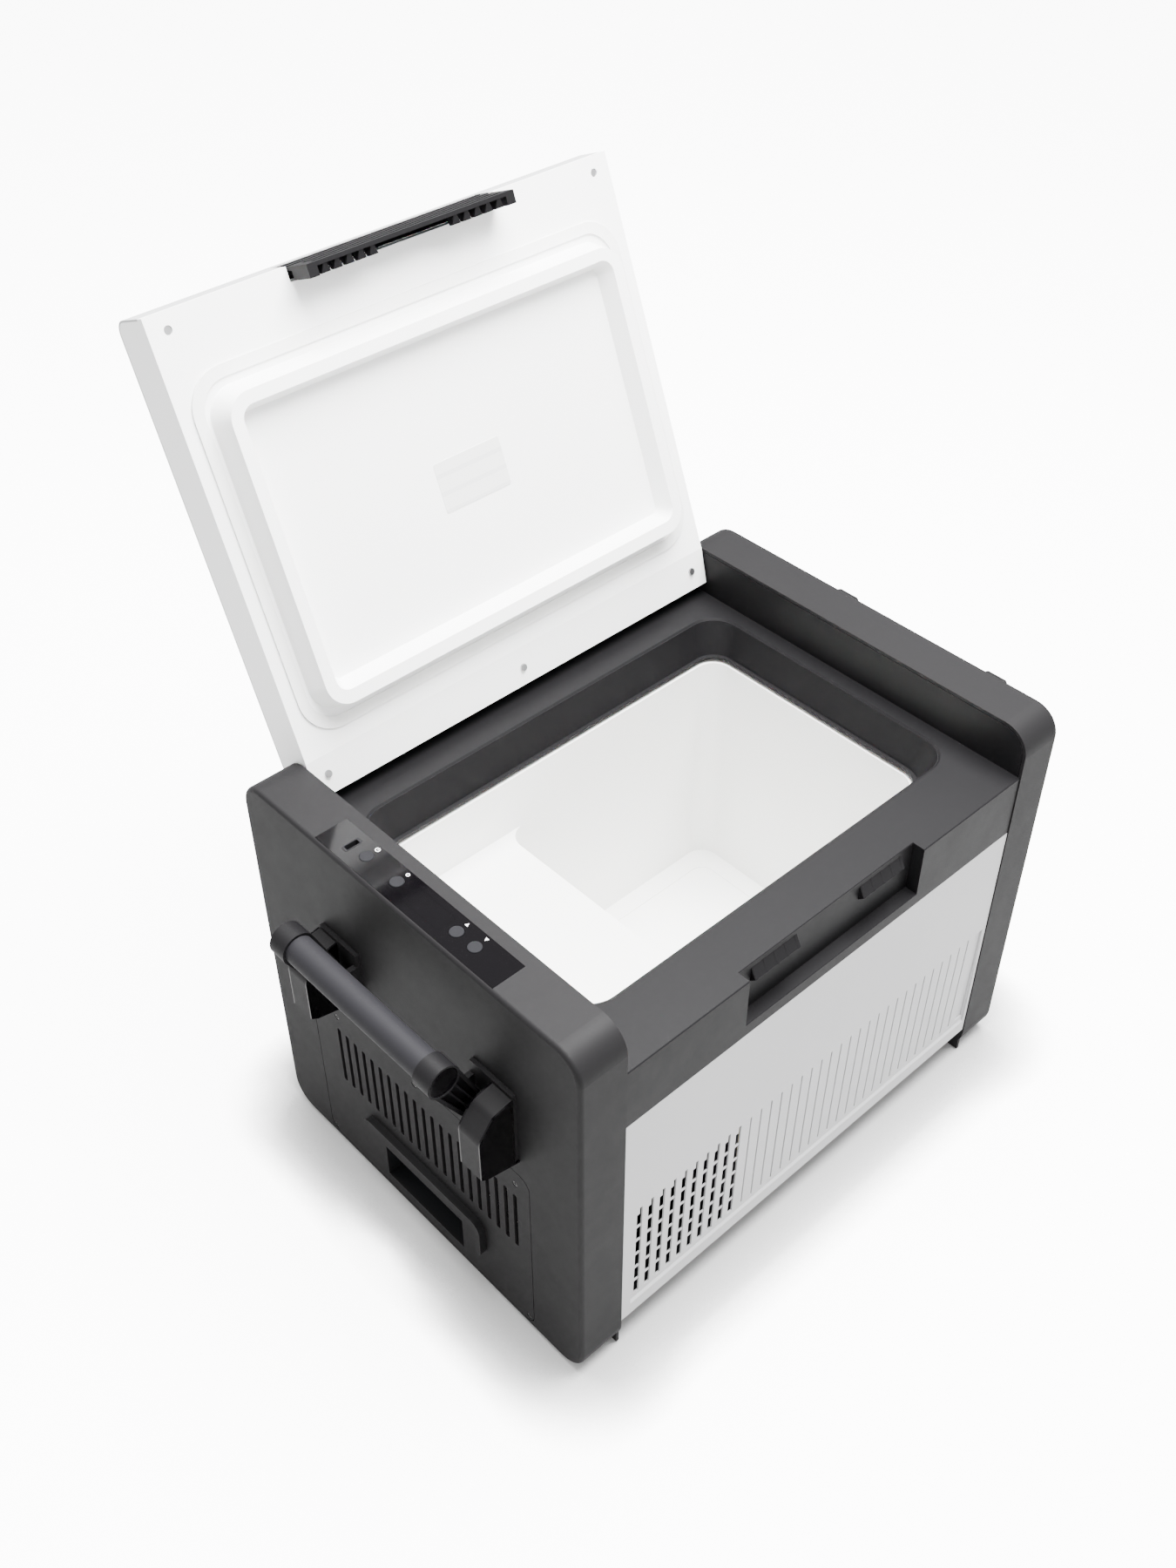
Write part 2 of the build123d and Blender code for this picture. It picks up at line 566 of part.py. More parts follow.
def service_cover():
    cover = slab_x(-HALF, -HALF + WALL, -COVER_HALF, COVER_HALF, COVER_Z[0], COVER_Z[1], COVER_R)
    hood_y0, hood_y1 = -84.0, 78.0
    hood = slab_x(-HALF - 7, -HALF + 0.5, hood_y0, hood_y1, 46.0, 94.0, 12.0)
    hood -= slab_x(-HALF - 8, -HALF + 0.5, hood_y0 + 7, hood_y1 + 30, 40.0, 86.0, 9.0)
    hood -= block(-HALF - 8, -HALF + 1, hood_y0 - 1, hood_y1 + 1, 40.0, 52.0)
    cover += hood
    for i in range(SLOT_COUNT):
        y = SLOT_MID + (i - (SLOT_COUNT - 1) / 2) * SLOT_PITCH
        cover -= slab_x(-HALF - 1, -HALF + WALL + 1, y - SLOT_W / 2, y + SLOT_W / 2, SLOT_Z[0], SLOT_Z[1],
                        SLOT_W / 2 - 0.1)
    cover -= block(-HALF - 1, -HALF + WALL + 1, RECESS_Y[0], RECESS_Y[1], RECESS_Z[0], RECESS_Z[1])
    for y, z in screw_rows():
        cover -= rod_x(-HALF - 1, -HALF + WALL, y, z, 1.6)
        cover -= rod_x(-HALF - 1, -HALF + 1.6, y, z, 3.0)
    return cover


def service_cover_screws():
    return [rod_x(-HALF + 0.4, -HALF + 1.6, y, z, 2.8) + rod_x(-HALF + 1.6, -HALF + 2 * WALL + 1, y, z, 1.5)
            for y, z in screw_rows()]


DC_MID = (-38.0, 43.0)
AC_MID = (12.0, 43.0)


def socket_housing():
    """A cup behind the opening in the service cover, with a hole for each inlet."""
    x0 = -HALF + WALL
    x1 = x0 + RECESS_DEPTH
    cup = block(x0, x1 + 2, RECESS_Y[0] - 2, RECESS_Y[1] + 2, RECESS_Z[0] - 2, RECESS_Z[1] + 2)
    cup -= block(x0 - 1, x1, RECESS_Y[0], RECESS_Y[1], RECESS_Z[0], RECESS_Z[1])
    cup -= block(x1 - 1, x1 + 3, DC_MID[0] - 9, DC_MID[0] + 9, DC_MID[1] - 8, DC_MID[1] + 8)
    cup -= block(x1 - 1, x1 + 3, AC_MID[0] - 15, AC_MID[0] + 15, AC_MID[1] - 12, AC_MID[1] + 12)
    return cup


def inlet(mid, half_y, half_z, pins):
    """A socket body with a mouth towards -X and blades inside."""
    y, z = mid
    x1 = -HALF + WALL + RECESS_DEPTH
    body = block(x1 - 4, x1 + 16, y - half_y, y + half_y, z - half_z, z + half_z)
    body -= block(x1 - 5, x1 + 12, y - half_y + 1.6, y + half_y - 1.6, z - half_z + 1.6, z + half_z - 1.6)
    for dy, dz in pins:
        body += block(x1, x1 + 13, y + dy - 0.7, y + dy + 0.7, z + dz - 1.8, z + dz + 1.8)
    return body


def dc_inlet():
    return inlet(DC_MID, 8.8, 7.8, [(-3.5, 0.0), (3.5, 0.0)])


def ac_inlet():
    return inlet(AC_MID, 14.8, 11.8, [(-7.0, -2.0), (0.0, 3.0), (7.0, -2.0)])


# ---- bail handles ---------------------------------------------------------------------------
def bracket_outline():
    corners = Polyline((-HALF, 314.0), (-304.0, 310.0), (-318.0, 291.0), (-318.0, 246.0), (-312.0, 242.0),
                       (-HALF, 234.0), close=True)
    face = make_face(corners)
    high = face.vertices().filter_by(lambda v: v.X < -300 and v.Y > 280)
    return fillet(high, 11.0)


def bracket(end):
    """One left-hand bracket: a closed box, a shallow plate beside it and an ear for the pin."""
    y_in = HANDLE_MID + end * BRACKET_IN
    y_out = HANDLE_MID + end * BRACKET_OUT
    box_in = y_out - end * BOX_W
    low, high = sorted((y_out - end * CAP_T, box_in + end * CAP_T))
    body = extrude(side_view(high, bracket_outline()), high - low)
    y0, y1 = sorted((y_in, box_in))
    body += block(-HALF - 4, -HALF, min(y0, low), max(y1, high), 236.0, 317.0)
    ear0, ear1 = sorted((y_in, y_in + end * 5.0))
    body += block(-HALF - 20, -HALF, ear0, ear1, 276.0, 304.0)
    body += rod_y(ear0, ear1, PIVOT[0], PIVOT[1], 14.0) & block(-320, -HALF, ear0, ear1, 270, 310)
    return body - bracket_pin(end)


def bracket_caps(end):
    y_out = HANDLE_MID + end * BRACKET_OUT
    box_in = y_out - end * BOX_W
    caps = []
    for y0 in (y_out - end * CAP_T, box_in):
        low, high = sorted((y0, y0 + end * CAP_T))
        cap = extrude(side_view(high, bracket_outline()), high - low)
        caps.append(cap - bracket_pin(end) - block(-HALF - 4, -HALF, low, high, 236.0, 317.0))
    return caps


def bracket_pin(end):
    y_in = HANDLE_MID + end * BRACKET_IN
    box_in = HANDLE_MID + end * (BRACKET_OUT - BOX_W)
    y0, y1 = sorted((y_in, box_in + end * 12))
    return rod_y(y0, y1, PIVOT[0], PIVOT[1], PIN_R)


def arm(end):
    """A tapered arm from the pivot to the grip, ribbed on its outer face."""
    y_out = HANDLE_MID + end * ARM_SPAN
    y0, y1 = sorted((y_out, y_out - end * ARM_T))
    pivot_r, grip_r = 11.0, 15.0
    rounds = Pos(*PIVOT) * Circle(pivot_r) + Pos(*GRIP) * Circle(grip_r)
    body = extrude(side_view(y1, make_hull(rounds.edges())), ARM_T)
    hollow = Pos(*PIVOT) * Circle(pivot_r - 3) + Pos(*GRIP) * Circle(grip_r - 3)
    depth = 5.0
    p0, p1 = sorted((y_out + end * 0.1, y_out - end * depth))
    pocket = extrude(side_view(p1, make_hull(hollow.edges())), p1 - p0)
    keep = rod_y(p0, p1, PIVOT[0], PIVOT[1], 8.5)
    middle = ((PIVOT[0] + GRIP[0]) / 2, (PIVOT[1] + GRIP[1]) / 2)
    for shift in (-3.5, 3.5):
        rib = Pos(middle[0] + shift * cos(LEAN), (p0 + p1) / 2, middle[1] + shift * sin(LEAN))
        keep += rib * Rot(0, 90 - degrees(LEAN), 0) * Box(46.0, p1 - p0, 1.6)
    return body - (pocket - keep)


def handle_frame():
    frame = rod_y(HANDLE_MID - ARM_SPAN, HANDLE_MID + ARM_SPAN, GRIP[0], GRIP[1], 7.0)
    for end in (-1, 1):
        frame += arm(end)
        y_arm = HANDLE_MID + end * ARM_SPAN
        y_end = y_arm + end * BOSS
        frame += rod_y(y_arm - end, y_end, GRIP[0], GRIP[1], 15.0) - rod_y(y_end - end * 2, y_end, *GRIP, 13.2)
    pin_hole = rod_y(HANDLE_MID - BRACKET_OUT, HANDLE_MID + BRACKET_OUT, PIVOT[0], PIVOT[1], PIN_R + RUN_FIT)
    frame -= pin_hole
    for disc in handle_end_caps():
        frame -= disc
    return frame


def handle_end_caps():
    """A polished disc let into each end of the bail."""
    discs = []
    for end in (-1, 1):
        y_end = HANDLE_MID + end * (ARM_SPAN + BOSS)
        discs.append(rod_y(y_end - end * 2.0, y_end - end * 0.6, GRIP[0], GRIP[1], 13.2))
        discs[-1] += rod_y(y_end - end * 4.0, y_end - end * 2.0, GRIP[0], GRIP[1], 3.0)
    return discs


def handle_grip():
    reach = ARM_SPAN - ARM_T
    tube = rod_y(HANDLE_MID - reach, HANDLE_MID + reach, GRIP[0], GRIP[1], GRIP_D / 2)
    return tube - rod_y(HANDLE_MID - reach - 1, HANDLE_MID + reach + 1, GRIP[0], GRIP[1], 7.0)


# ---- lid ------------------------------------------------------------------------------------
def lid_profile(inset):
    """The lid's side view, with the strip by the hinge cut back so that it clears the deck."""
    y0, y1 = LID_FRONT + inset, LID_BACK - inset
    z0, z1 = LID_FACE + inset, LID_TOP - inset
    outline = make_face(Polyline((y0, z0), (166.5, z0), (y1, z0 + 5.2), (y1, z1), (y0, z1), close=True))
    back_top = outline.vertices().filter_by(lambda v: v.X > 150 and v.Y > 400)
    front_top = outline.vertices().filter_by(lambda v: v.X < -150 and v.Y > 400)
    outline = fillet(back_top, LID_R - inset)
    return fillet(front_top, LID_R - inset)


def lid_volume(inset, half=None):
    half = half or LID_HALF - inset
    plane = Plane(origin=(-half, 0, 0), x_dir=(0, 1, 0), z_dir=(1, 0, 0))
    return extrude(plane * lid_profile(inset), 2 * half)


def lid_cover_skin():
    """The thin cover wraps over the lid's front and back edges."""
    skin = lid_volume(0.0) - lid_volume(LID_COVER_T, LID_HALF + 1)
    return skin - block(-300, 300, -300, 300, LID_FACE - 5, LID_FACE + 7.0) - latch_recess(0.0)


def plug(grow):
    tip = LID_FACE - PLUG_H
    return tapered((PLUG_TIP[0] + grow, PLUG_TIP[1] + grow), (PLUG_ROOT[0] + grow, PLUG_ROOT[1] + grow),
                   22.0, 26.0, PLUG_Y, tip - grow / 2, LID_FACE + 4.0)


def pocket_volume(grow):
    tip = LID_FACE - PLUG_H
    inner = (POCKET[0] - 14 + grow, POCKET[1] - 14 + grow)
    outer = (POCKET[0] + grow, POCKET[1] + grow)
    return tapered(outer, inner, 12.0, 6.0, PLUG_Y - 0.5, tip - 0.01, tip + POCKET_H + grow / 2)


def gasket_ring(z0, z1, slack):
    outer = slab_z(-221 - slack, 221 + slack, -154 - slack, 151 + slack, z0, z1, 34.0)
    inner = slab_z(-211.5 + slack, 211.5 - slack, -144.5 + slack, 141.5 - slack, z0 - 1, z1 + 1, 26.0)
    return outer - inner


def lid_screw_places():
    return [(-215.0, -189.5), (215.0, -189.5), (-215.0, 184.0), (0.0, 186.0), (215.0, 184.0)]


def latch_recess(grow):
    return block(-NOTCH_HALF - grow, NOTCH_HALF + grow, LID_FRONT - 1, LID_FRONT + NOTCH_DEPTH + grow,
                 LID_FACE - 1, 393.0 + grow)


def hinge_holes(shape):
    for side in (-1, 1):
        shape -= rod_x(side * (LID_HALF - 10.5), side * (LID_HALF + 1), HINGE_Y, HINGE_Z, 5.0 + RUN_FIT)
    return shape


def latch_pin_hole():
    return rod_x(-NOTCH_HALF - 4, NOTCH_HALF + 4, LATCH_PIN[0], LATCH_PIN[1], 2.0)


def lid_liner():
    """White moulding: the lid's sides, its underside, the plug that enters the collar and its pocket."""
    skin = 4.0
    body = lid_volume(0.0)
    body += plug(0.0) - block(-300, 300, -300, 300, LID_FACE + 3.5, LID_TOP)
    cavity = lid_volume(skin) + block(-LID_HALF + skin, LID_HALF - skin, LID_FRONT + skin, 196.0,
                                      400.0, LID_TOP + 1)
    hollow_plug = plug(-2 * WALL) - pocket_volume(2 * WALL)
    body = body - cavity - hollow_plug
    for side in (-1, 1):
        body += rod_x(side * (LID_HALF - 12), side * LID_HALF, HINGE_Y, HINGE_Z, 9.0)
    body -= pocket_volume(0.0)
    body += latch_recess(3.0) & lid_volume(0.0)
    body = body - latch_recess(0.0) - lid_cover_skin()
    body -= latch_pin_hole()
    body -= gasket_ring(LID_FACE - 0.01, LID_FACE + 2.5, 0.1)
    for x, y in lid_screw_places():
        body -= rod_z(LID_FACE - 1, LID_FACE + 2.8, x, y, 3.6)
        body -= rod_z(LID_FACE - 1, LID_FACE + 12.0, x, y, 1.6)
    return hinge_holes(body)


def lid_cover():
    top = lid_cover_skin()
    for x, y in lid_screw_places():
        boss = rod_z(LID_FACE + 9.0, LID_TOP - LID_COVER_T, x, y, 4.5)
        top += boss - rod_z(LID_FACE + 8.0, LID_TOP - LID_COVER_T - 2, x, y, 1.5)
    return top


def lid_foam():
    skin = 4.4
    foam = lid_volume(skin) & block(-300, 300, -300, 185.0, LID_FACE, LID_TOP - LID_COVER_T - 0.3)
    foam -= latch_recess(3.5)
    foam -= pocket_volume(2 * WALL + 1)
    for x, y in lid_screw_places():
        foam -= rod_z(LID_FACE, LID_TOP, x, y, 5.0)
    foam -= block(-300, -LID_HALF + 20, 172.0, 300, LID_FACE, LID_TOP)
    foam -= block(LID_HALF - 20, 300, 172.0, 300, LID_FACE, LID_TOP)
    foam -= block(-NOTCH_HALF - 6, NOTCH_HALF + 6, LID_FRONT, LATCH_PIN[0] + 3, 378, 386)
    return foam


def lid_gasket():
    return gasket_ring(LID_FACE - 1.8, LID_FACE + 2.5, 0.0)


def lid_screws():
    return [rod_z(LID_FACE + 1.0, LID_FACE + 2.8, x, y, 3.2) + rod_z(LID_FACE + 2.8, LID_FACE + 26.0, x, y, 1.5)
            for x, y in lid_screw_places()]


def rating_label():
    floor = LID_FACE - PLUG_H + POCKET_H
    return slab_z(-34.0, 37.0, -17.0, 26.0, floor - 0.3, floor, 2.0)


def latch_handle():
    """A long plate hinged at the lid's front edge, with hooked teeth for the two catches."""
    x1 = NOTCH_HALF - 1.0
    y0 = LID_FRONT + 0.4
    z0, z1 = LATCH_Z
    inner = y0 + 3.4
    plate = block(-x1, x1, y0, inner, z0, z1)
    plate += rod_x(-x1, x1, LATCH_PIN[0], LATCH_PIN[1], 4.4)
    plate += block(-x1, x1, y0 + 3, LATCH_PIN[0], LATCH_PIN[1] - 4, LATCH_PIN[1] + 4)
    for i in range(4):
        z = z0 + 5.0 + i * 11.5
        plate -= block(-x1 - 1, x1 + 1, y0 - 1, y0 + 0.9, z, z + 6.5)
    for side in (-1, 1):
        end0, end1 = sorted((side * x1, side * (x1 - 9)))
        plate += block(end0, end1, y0, y0 + 10.8, z0, z0 + 24.0)
        for i in range(5):
            plate += tooth(side * (CATCH_X[0] + 3.5 + i * 11.4), inner, y0 + 10.5)
    return plate - rod_x(-x1 - 1, x1 + 1, LATCH_PIN[0], LATCH_PIN[1], 2.0 + RUN_FIT)


def tooth(x, root_y, tip_y):
    """A hook, narrow at the plate and broad at its tip, that sits under a catch."""
    z0 = LATCH_Z[0]
    low = Plane(origin=(x, root_y - 0.5, z0 + 7.0), x_dir=(1, 0, 0), z_dir=(0, 1, 0))
    tip = Plane(origin=(x, tip_y, z0 + 4.0), x_dir=(1, 0, 0), z_dir=(0, 1, 0))
    return loft([low * Rectangle(3.0, 13.0), tip * Rectangle(8.5, 4.0)])


def latch_pin():
    return latch_pin_hole()


# ---- the assembly ---------------------------------------------------------------------------
NODES = {
    "left_end_casing": left_end_casing,
    "right_end_casing": right_end_casing,
    "rubber_feet": rubber_feet,
    "base_pan": base_pan,
    "front_panel": front_panel,
    "rear_panel": rear_panel,
    "rim_bezel": rim_bezel,
    "hinge_pins": hinge_pins,
    "inner_tub": inner_tub,
    "evaporator_plate": evaporator_plate,
    "tub_insulation": tub_insulation,
    "compartment_partition": compartment_partition,
    "compressor": compressor,
    "compressor_grommets": compressor_grommets,
    "condenser_coil": condenser_coil,
    "fan_frame": fan_frame,
    "fan_rotor": fan_rotor,
    "controller_box": controller_box,
    "refrigerant_lines": refrigerant_lines,
    "control_overlay": control_overlay,
    "display_window": display_window,
    "display_board": display_board,
    "usb_socket": usb_socket,
    "service_cover": service_cover,
    "service_cover_screws": service_cover_screws,
    "socket_housing": socket_housing,
    "dc_inlet": dc_inlet,
    "ac_inlet": ac_inlet,
}

LID_NODES = {
    "lid_cover": lid_cover,
    "lid_liner": lid_liner,
    "lid_foam": lid_foam,
    "lid_gasket": lid_gasket,
    "lid_screws": lid_screws,
    "rating_label": rating_label,
    "latch_handle": latch_handle,
    "latch_pin": latch_pin,
}


def as_list(made):
    return list(made) if isinstance(made, (list, tuple)) else [made]


def write(name, made):
    """Write one node; a node made of several separate solids is written as a group."""
    solids = []
    for shape in as_list(made):
        solids.extend(shape.solids())
    export_step(solids[0] if len(solids) == 1 else Compound(children=solids), f"parts/{name}.step")


def handle_nodes():
    """Both ends' brackets, caps, pins, frames and grips."""
    made = {}
    ends = {"front": -1, "rear": 1}
    for side in ("left", "right"):
        turn = (lambda s: s) if side == "left" else other_side
        for word, end in ends.items():
            made[f"{side}_{word}_bracket"] = turn(bracket(end))
        made[f"{side}_bracket_caps"] = [turn(cap) for end in ends.values() for cap in bracket_caps(end)]
        made[f"{side}_handle_pins"] = [turn(bracket_pin(end)) for end in ends.values()]
        made[f"{side}_handle_frame"] = turn(handle_frame())
        made[f"{side}_handle_grip"] = turn(handle_grip())
        made[f"{side}_handle_end_caps"] = [turn(cap) for cap in handle_end_caps()]
    return made


def main():
    os.makedirs("parts", exist_ok=True)
    for name, make in NODES.items():
        write(name, make())
    for name, make in LID_NODES.items():
        write(name, [opened(shape) for shape in as_list(make())])
    for name, y in BUTTONS.items():
        write(name, button(y))
    for name, made in handle_nodes().items():
        write(name, made)


main()
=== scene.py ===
from math import cos, pi, radians, sin

import bmesh
import bpy
from bpy.props import FloatProperty, FloatVectorProperty, IntProperty, PointerProperty
from mathutils import Matrix, Vector


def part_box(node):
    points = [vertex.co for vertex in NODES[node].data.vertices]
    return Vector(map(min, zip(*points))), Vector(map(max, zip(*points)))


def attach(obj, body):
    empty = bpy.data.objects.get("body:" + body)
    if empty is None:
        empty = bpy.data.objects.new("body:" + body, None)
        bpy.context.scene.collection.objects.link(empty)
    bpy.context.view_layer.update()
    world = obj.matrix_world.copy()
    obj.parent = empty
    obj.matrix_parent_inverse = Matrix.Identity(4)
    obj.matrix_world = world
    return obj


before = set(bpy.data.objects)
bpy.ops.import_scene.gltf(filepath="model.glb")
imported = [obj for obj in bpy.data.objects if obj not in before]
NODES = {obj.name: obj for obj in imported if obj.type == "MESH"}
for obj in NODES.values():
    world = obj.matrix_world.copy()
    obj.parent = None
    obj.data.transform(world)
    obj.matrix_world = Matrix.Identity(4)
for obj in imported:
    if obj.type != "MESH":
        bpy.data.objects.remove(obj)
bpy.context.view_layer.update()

bl_info = {
    "name": "Compressor cooler fridge",
    "version": (1, 0, 0),
    "blender": (4, 5, 0),
    "location": "3D View > Sidebar > Fridge",
    "description": "Finishes and small parts of a compressor cooler fridge",
    "category": "Object",
}

HANDLE_SIDES = ("left", "right")
BUTTON_NODES = ("power_button", "set_button", "up_button", "down_button")

PRINT_THICKNESS = 0.00008    # metres that a printed symbol stands proud
RECESS_PROUD = 0.0002        # thickness of the screws' cross pieces
CATCH_HEIGHT = 0.0107        # from the catch's nose up to its root on the wall

# the studio
FLOOR_SIZE = 30.0
FLOOR_GLOW = 9.0             # keeps the paper white to the eye without lighting the fridge
# painted contact shadow: the paper's camera-only glow is dimmed by ambient occlusion near the fridge
SHADE_REACH = 0.08           # metres over which the paper darkens round the fridge's foot
SHADE_POWER = 13.0
SKY_STRENGTH = 1.5
LIGHT_TARGET = (0.0, 0.0, 0.25)
SOFTBOXES = {                # place, side and power of each light
    "top_softbox": ((0.35, -0.1, 2.4), 1.6, 430.0),
    "back_softbox": ((-0.5, 1.9, 1.7), 1.2, 30.0),
    "front_softbox": ((1.3, -2.1, 1.3), 1.2, 9.0),
}
CAMERA_PLACE = (-0.770, -0.738, 1.322)
CAMERA_TILT = 48.16          # degrees up from straight down
CAMERA_TURN = -42.97         # degrees round from looking along +Y
CAMERA_LENS = 38.6


# ---- what a user may change -----------------------------------------------------------------
def colour_property(name, description, default):
    return FloatVectorProperty(name=name, description=description, subtype="COLOR", size=3, min=0.0, max=1.0,
                               default=default)


class FridgeColours(bpy.types.PropertyGroup):
    """Base colours of the mouldings."""
    casing: colour_property("Casing", "End casings and service cover", (0.0078, 0.0075, 0.008))
    bezel: colour_property("Bezel", "Deck, latch, brackets and handles", (0.005, 0.0048, 0.0053))
    panel: colour_property("Panel", "Light grey front and rear panels", (0.42, 0.42, 0.425))
    white: colour_property("White", "Lid mouldings", (0.94, 0.94, 0.935))
    tub: colour_property("Tub", "Tub", (0.83, 0.83, 0.815))
    gloss: colour_property("Gloss", "Control strip and bracket caps", (0.0012, 0.001, 0.0014))
    mark: colour_property("Marks", "Printed symbols", (0.75, 0.75, 0.75))


class FridgeSizes(bpy.types.PropertyGroup):
    """Sizes of the pieces that are made here."""
    rib_count: IntProperty(name="Catch ribs", description="Ribs on each catch block", default=5,
                           min=1, max=12)
    rib_width: FloatProperty(name="Rib width", description="Width of one catch rib", default=0.0022,
                             unit="LENGTH", min=0.0005)
    symbol_size: FloatProperty(name="Symbol size", description="Height of a printed symbol", default=0.0048,
                               unit="LENGTH", min=0.001)
    catch_span: FloatVectorProperty(name="Catch span", description="Inner and outer end of each catch block",
                                    size=2, default=(0.040, 0.088), unit="LENGTH")
    catch_wall: FloatProperty(name="Catch wall", description="Notch wall behind the deck's front",
                              default=0.012, unit="LENGTH")
    catch_reach: FloatProperty(name="Catch reach", description="How far a catch stands off the notch wall",
                               default=0.0057, unit="LENGTH")
    catch_drop: FloatProperty(name="Catch drop",
                              description="Depth of the catch's nose below the casings' tops",
                              default=0.0632, unit="LENGTH")
    cross_size: FloatProperty(name="Cross recess", description="Width of a screw's cross recess",
                              default=0.0036, unit="LENGTH", min=0.001)


# ---- shader groups --------------------------------------------------------------------------
def group_tree(name, inputs, outputs):
    """An empty shader group with its named sockets."""
    tree = bpy.data.node_groups.new(name, "ShaderNodeTree")
    for label, default in inputs:
        socket = tree.interface.new_socket(label, in_out="INPUT", socket_type="NodeSocketFloat")
        socket.default_value = default
    for label in outputs:
        tree.interface.new_socket(label, in_out="OUTPUT", socket_type="NodeSocketFloat")
    return tree, tree.nodes.new("NodeGroupInput"), tree.nodes.new("NodeGroupOutput")


def noise(tree, vector, scale, detail=4.0, roughness=0.55):
    node = tree.nodes.new("ShaderNodeTexNoise")
    node.inputs["Detail"].default_value = detail
    node.inputs["Roughness"].default_value = roughness
    tree.links.new(vector, node.inputs["Vector"])
    if isinstance(scale, (int, float)):
        node.inputs["Scale"].default_value = scale
    else:
        tree.links.new(scale, node.inputs["Scale"])
    return node.outputs["Fac"]


def calc(tree, operation, a, b):
    node = tree.nodes.new("ShaderNodeMath")
    node.operation = operation
    for socket, value in zip(node.inputs, (a, b)):
        if isinstance(value, (int, float)):
            socket.default_value = value
        else:
            tree.links.new(value, socket)
    return node.outputs[0]


def remap(tree, value, low, high):
    node = tree.nodes.new("ShaderNodeMapRange")
    tree.links.new(value, node.inputs["Value"])
    for label, number in (("To Min", low), ("To Max", high)):
        if isinstance(number, (int, float)):
            node.inputs[label].default_value = number
        else:
            tree.links.new(number, node.inputs[label])
    return node.outputs["Result"]


def moulded_group():
    """Spark-eroded grain with faint clouding: gives a tone mask, a roughness and a height."""
    tree, start, end = group_tree(
        "Moulded surface",
        (("Grain", 900.0), ("Low Rough", 0.45), ("High Rough", 0.6)),
        ("Tone", "Roughness", "Height"))
    place = tree.nodes.new("ShaderNodeTexCoord").outputs["Object"]
    grain = noise(tree, place, start.outputs["Grain"], detail=3.0)
    clouds = noise(tree, place, 9.0, detail=5.0)
    smears = noise(tree, place, 38.0, detail=6.0, roughness=0.7)
    tone = calc(tree, "ADD", calc(tree, "MULTIPLY", clouds, 0.7), calc(tree, "MULTIPLY", grain, 0.3))
    tree.links.new(tone, end.inputs["Tone"])
    rough = remap(tree, smears, start.outputs["Low Rough"], start.outputs["High Rough"])
    tree.links.new(rough, end.inputs["Roughness"])
    tree.links.new(grain, end.inputs["Height"])
    return tree


def brushed_group():
    """Long fine scratches along X."""
    tree, start, end = group_tree(
        "Brushed surface",
        (("Along", 40.0), ("Across", 1400.0), ("Low Rough", 0.25), ("High Rough", 0.45)),
        ("Tone", "Roughness", "Height"))
    place = tree.nodes.new("ShaderNodeTexCoord").outputs["Object"]
    stretch = tree.nodes.new("ShaderNodeVectorMath")
    stretch.operation = "MULTIPLY"
    factors = tree.nodes.new("ShaderNodeCombineXYZ")
    for axis, label in zip("XYZ", ("Along", "Across", "Across")):
        tree.links.new(start.outputs[label], factors.inputs[axis])
    tree.links.new(place, stretch.inputs[0])
    tree.links.new(factors.outputs[0], stretch.inputs[1])
    lines = noise(tree, stretch.outputs[0], 1.0, detail=3.0)
    tree.links.new(lines, end.inputs["Tone"])
    tree.links.new(lines, end.inputs["Height"])
    rough = remap(tree, lines, start.outputs["Low Rough"], start.outputs["High Rough"])
    tree.links.new(rough, end.inputs["Roughness"])
    return tree


SURFACES = {}


def surface_group(kind):
    if kind not in SURFACES:
        SURFACES[kind] = {"moulded": moulded_group, "brushed": brushed_group}[kind]()
    return SURFACES[kind]


# ---- materials ------------------------------------------------------------------------------
def shaded(colour, factor):
    return (colour[0] * factor, colour[1] * factor, colour[2] * factor, 1.0)


def finish(name, colour, kind="moulded", spread=0.12, bump=0.15, depth=0.00015, settings=(), shader=()):
    """A Principled material whose colour, roughness and bump come from a surface group."""
    material = bpy.data.materials.new(name)
    material.use_nodes = True
    tree = material.node_tree
    principled = tree.nodes["Principled BSDF"]
    surface = tree.nodes.new("ShaderNodeGroup")
    surface.node_tree = surface_group(kind)
    for label, value in settings:
        surface.inputs[label].default_value = value
    mix = tree.nodes.new("ShaderNodeMix")
    mix.data_type = "RGBA"
    mix.inputs["A"].default_value = shaded(colour, 1.0 - spread)
    mix.inputs["B"].default_value = shaded(colour, 1.0 + spread)
    tree.links.new(surface.outputs["Tone"], mix.inputs["Factor"])
    tree.links.new(mix.outputs["Result"], principled.inputs["Base Color"])
    tree.links.new(surface.outputs["Roughness"], principled.inputs["Roughness"])
    relief = tree.nodes.new("ShaderNodeBump")
    relief.inputs["Strength"].default_value = bump
    relief.inputs["Distance"].default_value = depth
    tree.links.new(surface.outputs["Height"], relief.inputs["Height"])
    tree.links.new(relief.outputs["Normal"], principled.inputs["Normal"])
    for label, value in shader:
        principled.inputs[label].default_value = value
    return material


def casing_plastic(name, colour):
    return finish(name, colour, spread=0.14, bump=0.35,
                  settings=(("Grain", 1500.0), ("Low Rough", 0.5), ("High Rough", 0.62)),
                  shader=(("Specular IOR Level", 0.1),))


def bezel_plastic(colour):
    return finish("bezel_plastic", colour, spread=0.12, bump=0.25,
                  settings=(("Grain", 1700.0), ("Low Rough", 0.42), ("High Rough", 0.55)),
                  shader=(("Specular IOR Level", 0.09),))


def panel_plastic(name, colour):
    return finish(name, colour, spread=0.04, bump=0.12,
                  settings=(("Grain", 1800.0), ("Low Rough", 0.45), ("High Rough", 0.56)),
                  shader=(("Specular IOR Level", 0.2),))


